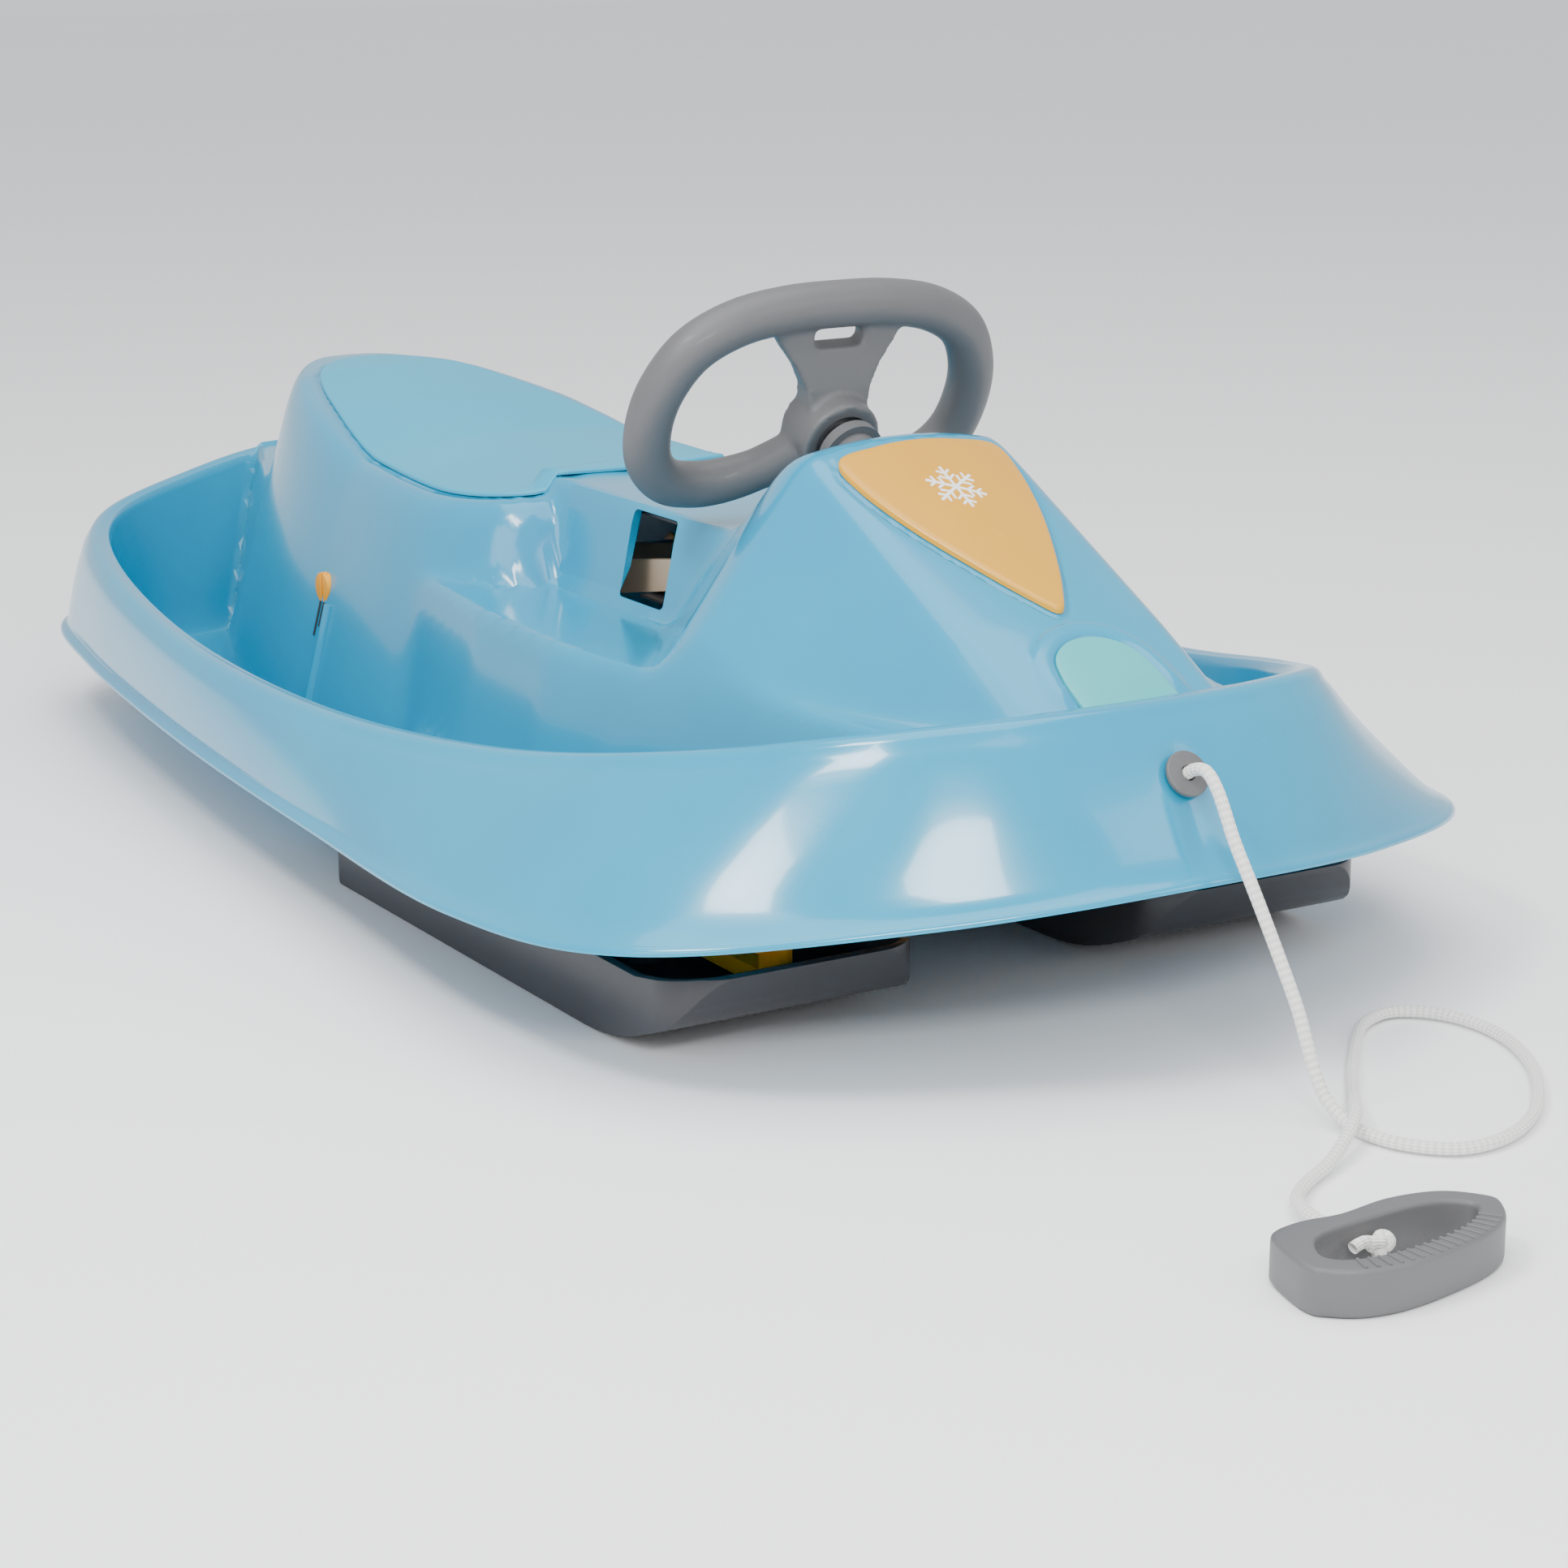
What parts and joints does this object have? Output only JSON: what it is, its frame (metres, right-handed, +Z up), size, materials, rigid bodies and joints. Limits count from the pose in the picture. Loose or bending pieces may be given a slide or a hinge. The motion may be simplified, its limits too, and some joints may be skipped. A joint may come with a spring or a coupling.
{
  "type": "steerable snow sled",
  "caption": "Child's moulded snow sled with seat, foot wells, steered front skis, lift-up claw brake, hood and tow rope with handle.",
  "frame": {"origin": "on the ground under the middle of the sled's own box, without the tow rope, its knot and handle", "axes": "+X forward to the bow, +Y to the rider's left, +Z up"},
  "size_m": [1.2724, 0.534, 0.3335],
  "materials": {
    "hull_blue": "glossy moulded sky blue",
    "pad_light_blue": "satin light blue",
    "cover_yellow": "glossy warm yellow",
    "cover_teal": "satin teal",
    "grey_plastic": "satin mid grey",
    "dark_plastic": "matte charcoal",
    "ski_black": "satin black",
    "link_yellow": "satin yellow",
    "grip_sand": "matte sand",
    "rope_white": "braided off-white cord",
    "steel": "zinc plated"
  },
  "bodies": {
    "hull": {"hull_shell": "hull_blue", "seat_pad": "pad_light_blue", "hood_cover": "cover_yellow", "winder_cover": "cover_teal", "rope_grommet": "grey_plastic", "rear_runner_left": "hull_blue", "rear_runner_right": "hull_blue", "runner_screws": "steel", "winder_frame": "dark_plastic", "winder_axle": "steel", "winder_spring": "steel", "column_sleeve": "grey_plastic", "steering_frame": "dark_plastic", "frame_screws": "steel", "kingpins": "steel", "kingpin_nuts": "steel", "brake_pivot_rod": "steel", "snap_pin_left": "link_yellow", "snap_pin_right": "link_yellow", "tow_rope": "rope_white", "rope_knot": "rope_white", "tow_handle": "grey_plastic"},
    "winder": {"winder_drum": "dark_plastic"},
    "wheel": {"steering_wheel": "grey_plastic", "wheel_hub": "grey_plastic", "wheel_screw": "steel", "steering_column": "steel", "column_clip": "steel", "pitman_arm": "link_yellow"},
    "post": {"steering_post": "steel", "post_fork": "link_yellow"},
    "tie": {"tie_rod": "link_yellow"},
    "left_ski": {"ski_left": "ski_black", "knuckle_left": "link_yellow"},
    "right_ski": {"ski_right": "ski_black", "knuckle_right": "link_yellow"},
    "brake": {"brake_lever": "grip_sand", "brake_grip": "grip_sand", "brake_claw": "steel", "claw_screws": "steel"}
  },
  "joints": [
    {"name": "wheel_turn", "type": "hinge", "parent": "hull", "child": "wheel", "pos_m": [0.167, 0, 0.262], "axis": [-0.9135, 0, 0.4067], "range_deg": [-10, 10]},
    {"name": "post_turn", "type": "hinge", "parent": "hull", "child": "post", "pos_m": [0.29259, 0, 0.06], "axis": [0, 0, 1], "range_deg": [-10, 10]},
    {"name": "tie_slide", "type": "slide", "parent": "hull", "child": "tie", "axis": [0, 1, 0], "range_m": [-0.0102, 0.0102]},
    {"name": "left_ski_turn", "type": "hinge", "parent": "hull", "child": "left_ski", "pos_m": [0.22, 0.135, 0.05], "axis": [0, 0, 1], "range_deg": [-4.5, 4.5]},
    {"name": "right_ski_turn", "type": "hinge", "parent": "hull", "child": "right_ski", "pos_m": [0.22, -0.135, 0.05], "axis": [0, 0, 1], "range_deg": [-4.5, 4.5]},
    {"name": "brake_lift", "type": "hinge", "parent": "hull", "child": "brake", "pos_m": [-0.18, 0, 0.12], "axis": [0, -1, 0], "range_deg": [0, 4]},
    {"name": "winder_spin", "type": "hinge", "parent": "hull", "child": "winder", "pos_m": [0.4, 0, 0.138], "axis": [0, 1, 0], "continuous": true}
  ],
  "couplings": [
    {"joint": "post_turn", "follows": "wheel_turn", "ratio": 0.965},
    {"joint": "tie_slide", "follows": "wheel_turn", "m_per_rad": 0.0565},
    {"joint": "left_ski_turn", "follows": "wheel_turn", "ratio": 0.4286},
    {"joint": "right_ski_turn", "follows": "wheel_turn", "ratio": 0.4286}
  ]
}
